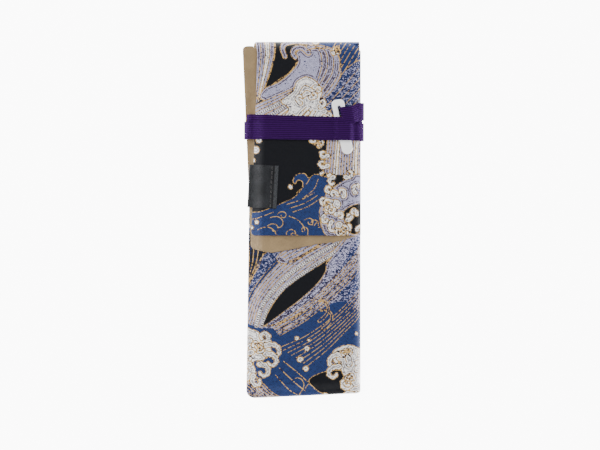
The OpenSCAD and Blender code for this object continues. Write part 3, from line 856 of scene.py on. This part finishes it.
def on_under_flap(u, v, depth):
    """u runs from the outer flap's edge round the small side fold and across to the free edge."""
    turn = np.clip(u / SIDE_FOLD, 0, 1) * math.pi
    share = np.clip((u - SIDE_FOLD) / UNDER_W, 0, 1)
    x_guess = between(FLAP_X, -28, share)
    low = np.interp(x_guess, [-28, -22, -19, -7.6, 3.9, 15.9, 21.8, 27.65],
                    [-15.4, -16.6, -16.8, -15, -12.6, -11.2, -9.6, -8])
    low = between(low, HEM_Y, 1 - eased(share * 30))
    top = 87.1 + 2.4 * eased((share - 0.86) * 12)
    y = low + (top - low) * v / 100
    gone, over = np.clip(3 - (y - low), 0, 3), np.clip(y - 87.5, 0, 2)
    left = -27.8 - 4.0 * np.clip((y - HEM_Y) / 95, 0, 1) + 3 - np.sqrt(9 - gone**2) + 2 - np.sqrt(4 - over**2)
    x = between(FLAP_X, left, share)
    inwards = depth(np.minimum(x - left, y - low))
    return settle(x + (SIDE_R - inwards) * np.sin(turn), y, 12.55 + (SIDE_R - inwards) * np.cos(turn))


def under_place(u, v):
    """The flap's drawing runs on round the side fold, mirrored."""
    x = FLAP_X + 0.4 + u
    return np.stack([np.where(x > 29.5, 59 - x, x), -8 + 0.951 * v], 1)


under_depths = {"brocade": lambda rim: turned_in(rim, 0.5, 0.8),
                "lining": lambda rim: 0.9 - turned_in(rim, 0.4, 0.8)}
for part, columns in (("under_flap", threads(SIDE_FOLD, SIDE_FOLD + UNDER_W, 0.7)),
                      ("flap_side", threads(0, SIDE_FOLD, 0.35))):
    for layer, depth in under_depths.items():
        name = f"{part}_{layer}_cloth"
        piece, u, v = cloth(name, columns, threads(0, 100, 0.6), lambda u, v: on_under_flap(u, v, depth))
        if layer == "brocade":
            figure(piece, under_place(u, v), draw_flap, NAVY)
        else:
            flip(piece)
            dress(piece, KHAKI)
        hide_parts(f"{part}_{layer}")
        if part == "under_flap":
            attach(piece, "under_flap")
        else:
            high, low = (0.0123, 0.0099) if layer == "brocade" else (0.0114, 0.0107)
            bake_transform(piece)

# the tight fold inside the top fold, where the front leaf turns over into the under flap
for name, radius, middle, node_name in [("inner_fold_brocade_cloth", 0.55, 11.05, "inner_fold_brocade"),
                                        ("inner_fold_lining_cloth", 2.0, 10.05, "inner_fold_lining")]:
    strip, u, v = cloth(name, threads(-26.8, 23.5, 0.6), threads(0, 1, 1 / 16), lambda u, v: settle(
        u, 87.1 + radius * np.sin(v * math.pi), middle - radius * np.cos(v * math.pi)))
    for loop in strip.data.uv_layers["cloth"].data:
        loop.uv.y *= radius * math.pi
    if radius < 1:
        figure(strip, np.stack([u, 60 + v * 2], 1), draw_flap, NAVY)
    else:
        dress(strip, KHAKI)
    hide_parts(node_name)
    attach(strip, "front_leaf")

# ---- The brush pockets --------------------------------------------------------------------------
# Four long pockets of lining cotton, sewn down side by side on the back leaf and bound at their
# mouths with lilac tape. The stitching keeps its modelled thread.

POCKET_LOW, POCKET_TOP, POCKET_PITCH, POCKET_LEFT = -87.0, 33.0, 11.8875, -26.0


def pocket_height(x, y, lift):
    """The cloth's height over the back lining: an arch over each pocket, flat at its seams."""
    across = (x - POCKET_LEFT - 0.7) / POCKET_PITCH
    arch = np.sqrt(np.clip(1 - np.abs(2 * (across % 1) - 1) ** 3.0, 0, None))
    inside = (across > 0) & (across < 4)
    closing = eased((y - POCKET_LOW) / 5)
    return settle(x, y, LEAF_T + 0.35 + lift + 4.0 * arch * inside * between(0.12, 1, closing))


LILAC_TAPE = khaki_finish("lilac_binding", dye(168, 160, 190), 0.4)
for name, low, high, lift, finish, slot_name, node_name in [
        ("pocket_cloth_cover", POCKET_LOW, POCKET_TOP, 0.0, KHAKI, "lining", "pocket_cloth"),
        ("pocket_binding_tape", POCKET_TOP - 4, POCKET_TOP + 1.5, 0.25, LILAC_TAPE, "binding",
         "pocket_binding")]:
    panel, u, v = cloth(name, threads(POCKET_LEFT, 22.95, 0.35), threads(low, high, 1.1),
                        lambda u, v: pocket_height(u, v, lift))
    thicken(panel, 0.0003, 0)
    dress(panel, finish)
    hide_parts(node_name)
    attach(panel, "back_leaf")


def thread_finish(name, colour):
    """Sewing thread: plied strands that catch the light, with the shade in the grooves between them painted
    into its colour.
    """
    material, tree, shader = finish_of(name, roughness=0.6, sheen_weight=0.2)
    place = add(tree, "ShaderNodeTexCoord").outputs["Object"]
    ply = add(tree, "ShaderNodeTexWave", {"Vector": place, "Scale": 1400.0, "Distortion": 1.0},
              bands_direction="DIAGONAL")
    # painted shade: the colour darkens to six tenths in the grooves between the plies
    tree.links.new(mix(tree, ply.outputs[1], rgba(colour * 0.6), rgba(colour)), shader.inputs["Base Color"])
    emboss(tree, shader, ply.outputs[1], 0.6, 0.0001)
    return material


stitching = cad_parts["pocket_stitching"]
stitching.data.materials.clear()
stitching.data.materials.append(thread_finish("pocket_thread", dye(150, 132, 104)))

# ---- The label ----------------------------------------------------------------------------------
# A strip of soft dark leather, folded round the flap's free edge and stitched through along its
# inner end. It is left blank.

LABEL_X, LABEL_Y, LABEL_W, LABEL_H = -28.7, 17.2, 14.9, 22.0
LABEL_LEAN = math.radians(-3)
LEATHER, tree, shader = finish_of("label_leather", roughness=0.6, specular_ior_level=0.15)
place = add(tree, "ShaderNodeTexCoord").outputs["Object"]
pores = add(tree, "ShaderNodeTexVoronoi", {"Vector": place, "Scale": 1500.0}, feature="DISTANCE_TO_EDGE")
rubbed = noise(tree, place, 90.0, 3.0)
tone = mix(tree, ramp(tree, rubbed.outputs[0], 0.35, 0.7), rgba(dye(32, 33, 36)), rgba(dye(45, 47, 50)))
measure = add(tree, "ShaderNodeUVMap", uv_map="cloth").outputs[0]
along_it = add(tree, "ShaderNodeSeparateXYZ", {0: measure}).outputs[0]
welt = ramp(tree, maths(tree, "ABSOLUTE", less(tree, along_it, 0.022)), 0.0, 0.004)
tone = mix(tree, ramp(tree, along_it, 0.02, 0.024), rgba(dye(62, 64, 67)), tone)
tone = mix(tree, welt, rgba(dye(8, 8, 9)), tone)
tree.links.new(mix(tree, ramp(tree, pores.outputs[0], 0.0, 0.12), rgba(dye(20, 20, 23)), tone),
               shader.inputs["Base Color"])
tree.links.new(ramp(tree, rubbed.outputs[0], 0.3, 0.7, 0.62, 0.46), shader.inputs["Roughness"])
grain = plus(tree, times(tree, welt, 3.0), ramp(tree, pores.outputs[0], 0.0, 0.15))
emboss(tree, shader, grain, 0.5, 0.00012)


def on_label(u, v, lift):
    """u runs from the inner end of the front, over the flap's edge to the short end behind it."""
    front = LABEL_W - 0.7
    turn = np.clip((u - front) / 2.2, 0, 1) * math.pi
    behind = np.clip(u - front - 2.2, 0, None)
    x = LABEL_X + 0.7 + np.clip(front - u, 0, None) + behind
    x_leant = x - v * math.sin(LABEL_LEAN)
    y = LABEL_Y + v + (x - LABEL_X - 7) * math.sin(LABEL_LEAN)
    sx, sy, high = settle(x_leant, y, np.full(len(u), 13.55))
    return x_leant - 0.7 * np.sin(turn), y, high + lift + 0.65 * np.cos(turn)


label, u, v = cloth("leather_label_strip", threads(0, 21.5, 0.35), threads(-LABEL_H / 2, LABEL_H / 2, 0.4),
                    lambda u, v: on_label(u, v, 0.0))
flip(label)
thicken(label, 0.0005, 0)
bevel = label.modifiers.new("cut_edge", "BEVEL")
bevel.width, bevel.segments, bevel.angle_limit = 0.00012, 2, math.radians(50)
dress(label, LEATHER)
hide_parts("leather_label")
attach(label, "outer_flap")


def stitches(name, places, length, thick, turn, finish):
    """Short stitches, each a thread that dips at both ends: places are their middles, in mm."""
    shape = bmesh.new()
    for x, y, z in places:
        made = bmesh.ops.create_uvsphere(shape, u_segments=8, v_segments=6, radius=0.5)["verts"]
        bmesh.ops.scale(shape, verts=made, vec=(thick, length, thick))
        bmesh.ops.rotate(shape, verts=made, cent=(0, 0, 0), matrix=Matrix.Rotation(turn, 3, "Z"))
        bmesh.ops.translate(shape, verts=made, vec=(x, y, z))
    bmesh.ops.scale(shape, verts=shape.verts, vec=(0.001, 0.001, 0.001))
    piece = made_of(shape, name)
    piece.data.shade_smooth()
    piece.data.materials.append(finish)
    return piece


v = np.arange(-9.6, 9.7, 2.4)
line = np.stack(on_label(np.full(len(v), 3.2), v, 0.5), 1)
label_thread = stitches("label_stitches", line, 1.9, 0.75, -LABEL_LEAN,
                        thread_finish("label_thread", dye(4, 4, 5)))
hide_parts("label_stitching")
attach(label_thread, "outer_flap")

# ---- The strap ----------------------------------------------------------------------------------
# Purple ribbed elastic, wound twice round the case. Its ribs are the rubber threads inside, with
# the yarn pulled in between them.


def elastic_finish():
    """Purple elastic: ribs along it, knitted rows across them and a little fuzz, with the shade in the grooves
    painted into its colour.
    """
    material, tree, shader = finish_of("purple_elastic", roughness=0.9, specular_ior_level=0.05)
    place = add(tree, "ShaderNodeUVMap", uv_map="cloth").outputs[0]
    parts = add(tree, "ShaderNodeSeparateXYZ", {0: place})
    ribs = maths(tree, "ABSOLUTE", maths(tree, "SINE", times(tree, parts.outputs[1], math.pi / 0.0098)))
    knit = maths(tree, "ABSOLUTE", maths(tree, "SINE", plus(
        tree, times(tree, parts.outputs[0], math.pi / 0.0045), times(tree, ribs, 1.2))))
    fuzz = noise(tree, place, 500.0, 3.0)
    # painted shade: the colour falls to near-black purple in the grooves between the ribs and between the
    # knitted rows; the fuzz is the yarn's own uneven tone
    light = times(tree, maths(tree, "POWER", ribs, 0.6), ramp(tree, knit, 0.0, 1.0, 0.7, 1.0))
    light = times(tree, light, ramp(tree, fuzz.outputs[0], 0.3, 0.7, 0.85, 1.15))
    tree.links.new(mix(tree, light, rgba(dye(10, 3, 20)), rgba(dye(56, 24, 80))), shader.inputs["Base Color"])
    height = plus(tree, ribs, times(tree, knit, 0.35))
    emboss(tree, shader, height, 0.8, 0.00025)
    return material


ELASTIC = elastic_finish()
CLAW_X, CLAW_Y, CLAW_Z, CLAW_LEAN = 22.4, 33.8, 14.1, math.radians(11.5)


def stack_top(x, y):
    """The height of what the strap lies on: the flap, with the claw on it."""
    lying = settle(x, y, np.full(np.shape(x), 13.9))[2]
    middle = CLAW_X - (y - CLAW_Y) * math.tan(CLAW_LEAN)
    rise = eased((5.6 - np.abs(x - middle)) / 2.6)
    return np.maximum(lying, between(lying, CLAW_Z + 1.85, rise))


def band_path(y, gap):
    """The strap's line round the case at y, as x and z, from the middle of the back round the right."""
    x = np.linspace(26.3, -26.6, 90)
    top = stack_top(x, y) + gap
    right, left = np.linspace(-88, 84, 22), np.linspace(96, 268, 22)
    high_r, high_l = top[0], top[-1]
    low = 1.35 - gap

    def side(middle, reach, high, angles):
        """The turn round one side of the case."""
        turn = np.radians(angles)
        return np.stack([middle + reach * np.cos(turn), (high + low) / 2 + (high - low) / 2 * np.sin(turn)], 1)

    turn_r = side(26.3, 29.2 + gap - 26.3, high_r, right)
    turn_l = side(-26.6, 29.7 + gap - 26.6, high_l, left)
    back = np.linspace(-26.3, 26, 40)
    return np.vstack([turn_r, np.stack([x, top], 1), turn_l, np.stack([back, np.full(40, low)], 1), turn_r[:1]])


def along_path(path, share):
    """Places at shares of a path's length."""
    gone = np.concatenate([[0], np.cumsum(np.hypot(*np.diff(path, axis=0).T))])
    return [np.interp(share * gone[-1], gone, path[:, i]) for i in (0, 1)]


def wrap(name, middle, gap, lean, node_name):
    """One turn of the strap round the case."""
    def lay(u, v):
        x, z = along_path(band_path(middle, gap), u / 148)
        z = z - 0.12 * (np.abs(v) / 4.5) ** 4 * np.sign(z - 7)
        return x, middle + v + lean * x / 30, z

    band, u, v = cloth(name, threads(0, 148, 0.45), threads(-4.5, 4.5, 0.36), lay)
    shape = bmesh.new()
    shape.from_mesh(band.data)
    bmesh.ops.remove_doubles(shape, verts=shape.verts, dist=1e-6)
    shape.to_mesh(band.data)
    shape.free()
    thicken(band, 0.00065, 0)
    dress(band, ELASTIC)
    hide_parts(node_name)
    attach(band, "strap")


wrap("strap_inner_turn", 48.9, 0.45, -1.0, "strap_inner_wrap")
wrap("strap_outer_turn", 45.7, 1.2, -0.5, "strap_outer_wrap")

# ---- The tail -----------------------------------------------------------------------------------
# The strap's end comes round the side fold to the claw, goes through its slot and round the
# bar, and is sewn down on itself underneath.

TAIL_Y = 55.4
loop_middle = np.array([CLAW_X - 20.1 * math.sin(CLAW_LEAN), CLAW_Y + 20.1 * math.cos(CLAW_LEAN)])


def tail_path():
    """The tail's line, as x and z: under the case, round its side, over the claw and round the bar."""
    back = np.array([[9.0, 0.95], [20, 0.95], [25.5, 1.3]])
    turn = np.radians(np.linspace(-70, 70, 18))
    side = np.stack([25.6 + 4.9 * np.cos(turn), 7.6 + 6.3 * np.sin(turn)], 1)
    over = np.array([[25.6, 14.95], [24.2, 16.1], [22.6, 16.45], [20.0, 16.45]])
    turn = np.radians(np.linspace(100, 250, 12))
    round_bar = np.stack([19.4 + 0.85 * np.cos(turn), 15.55 + 0.85 * np.sin(turn)], 1)
    under = np.array([[20.4, 14.65], [23.5, 14.55]])
    return np.vstack([back, side, over, round_bar, under])


def on_tail(u, v):
    """A place on the tail, u mm along it, which leans over to meet the claw."""
    x, z = along_path(tail_path(), u / 62)
    near_claw = eased((29.5 - x) / 6) * (z > 7)
    lean = CLAW_LEAN * near_claw
    y = between(TAIL_Y + 0.4, loop_middle[1], near_claw) + v * np.cos(lean)
    return x + (loop_middle[0] - 18.4 + 0.6) * near_claw - v * np.sin(lean), y + 0.1 * (x - 19) * near_claw, z


tail, u, v = cloth("strap_tail_end", threads(0, 62, 0.4), threads(-4.4, 4.4, 0.36), on_tail)
thicken(tail, 0.0006, 0)
dress(tail, ELASTIC)
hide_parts("strap_tail", "strap_end_loop")
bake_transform(tail)

places = [on_tail(np.array([59.0]), np.array([float(w)])) for w in np.arange(-3.6, 3.7, 0.8)]
tack = stitches("loop_tack", [(p[0][0], p[1][0], p[2][0] + 0.3) for p in places], 0.6, 0.3, CLAW_LEAN,
                thread_finish("tack_thread", dye(120, 48, 62)))
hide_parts("loop_bar_tack")
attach(tack, "claw")

# ---- The claw -----------------------------------------------------------------------------------
# A glossy white moulded plate, round at its tip and square-shouldered at its head, with a slot
# for the strap's end.

CLAW_LONG, CLAW_T = 28.5, 1.8


def rounded(corners):
    """An outline with round corners, each given by its middle, radius and the angles it turns."""
    return [(x + r * math.cos(math.radians(a)), y + r * math.sin(math.radians(a)))
            for x, y, r, start, end in corners for a in np.linspace(start, end, 12)]


shape = bmesh.new()
head_y = CLAW_LONG - 2.4
loops = [rounded([(0, 2.85, 2.85, 185, 355), (0.9, head_y, 2.4, 0, 90), (-0.9, head_y, 2.4, 90, 180)]),
         rounded([(0.4, 15.6, 0.6, -90, 0), (0.4, 24.6, 0.6, 0, 90), (0.1, 24.6, 0.6, 90, 180),
                  (0.1, 15.6, 0.6, 180, 270)])]
edges = []
for outline in loops:
    corners = [shape.verts.new((x, y, 0)) for x, y in outline]
    edges += [shape.edges.new((corners[i - 1], corners[i])) for i in range(len(corners))]
bmesh.ops.triangle_fill(shape, edges=edges, use_beauty=True)
raised = bmesh.ops.extrude_face_region(shape, geom=shape.faces[:])["geom"]
bmesh.ops.translate(shape, verts=[g for g in raised if isinstance(g, bmesh.types.BMVert)], vec=(0, 0, CLAW_T))
bmesh.ops.recalc_face_normals(shape, faces=shape.faces)
rims = [e for e in shape.edges if len(e.link_faces) == 2 and e.calc_face_angle() > 1.0]
bmesh.ops.bevel(shape, geom=rims, offset=0.5, segments=4, profile=0.5, affect="EDGES", material=-1)
bmesh.ops.rotate(shape, verts=shape.verts, cent=(0, 0, 0), matrix=Matrix.Rotation(CLAW_LEAN, 3, "Z"))
bmesh.ops.translate(shape, verts=shape.verts, vec=(CLAW_X, CLAW_Y, CLAW_Z))
bmesh.ops.scale(shape, verts=shape.verts, vec=(0.001, 0.001, 0.001))
claw = made_of(shape, "claw_plate")
claw.data.shade_smooth()
PLASTIC, tree, shader = finish_of("claw_plastic", roughness=0.22, specular_ior_level=0.55, coat_weight=0.3)
place = add(tree, "ShaderNodeTexCoord").outputs["Object"]
flow = noise(tree, place, 160.0, 2.0)
scuffs = noise(tree, place, 1800.0, 4.0)
tree.links.new(mix(tree, flow.outputs[0], rgba(dye(250, 250, 251)), rgba(dye(254, 254, 254))),
               shader.inputs["Base Color"])
tree.links.new(ramp(tree, scuffs.outputs[0], 0.4, 0.75, 0.18, 0.34), shader.inputs["Roughness"])
emboss(tree, shader, flow.outputs[0], 0.2, 0.0002)
dress(claw, PLASTIC)
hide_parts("claw")
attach(claw, "claw")
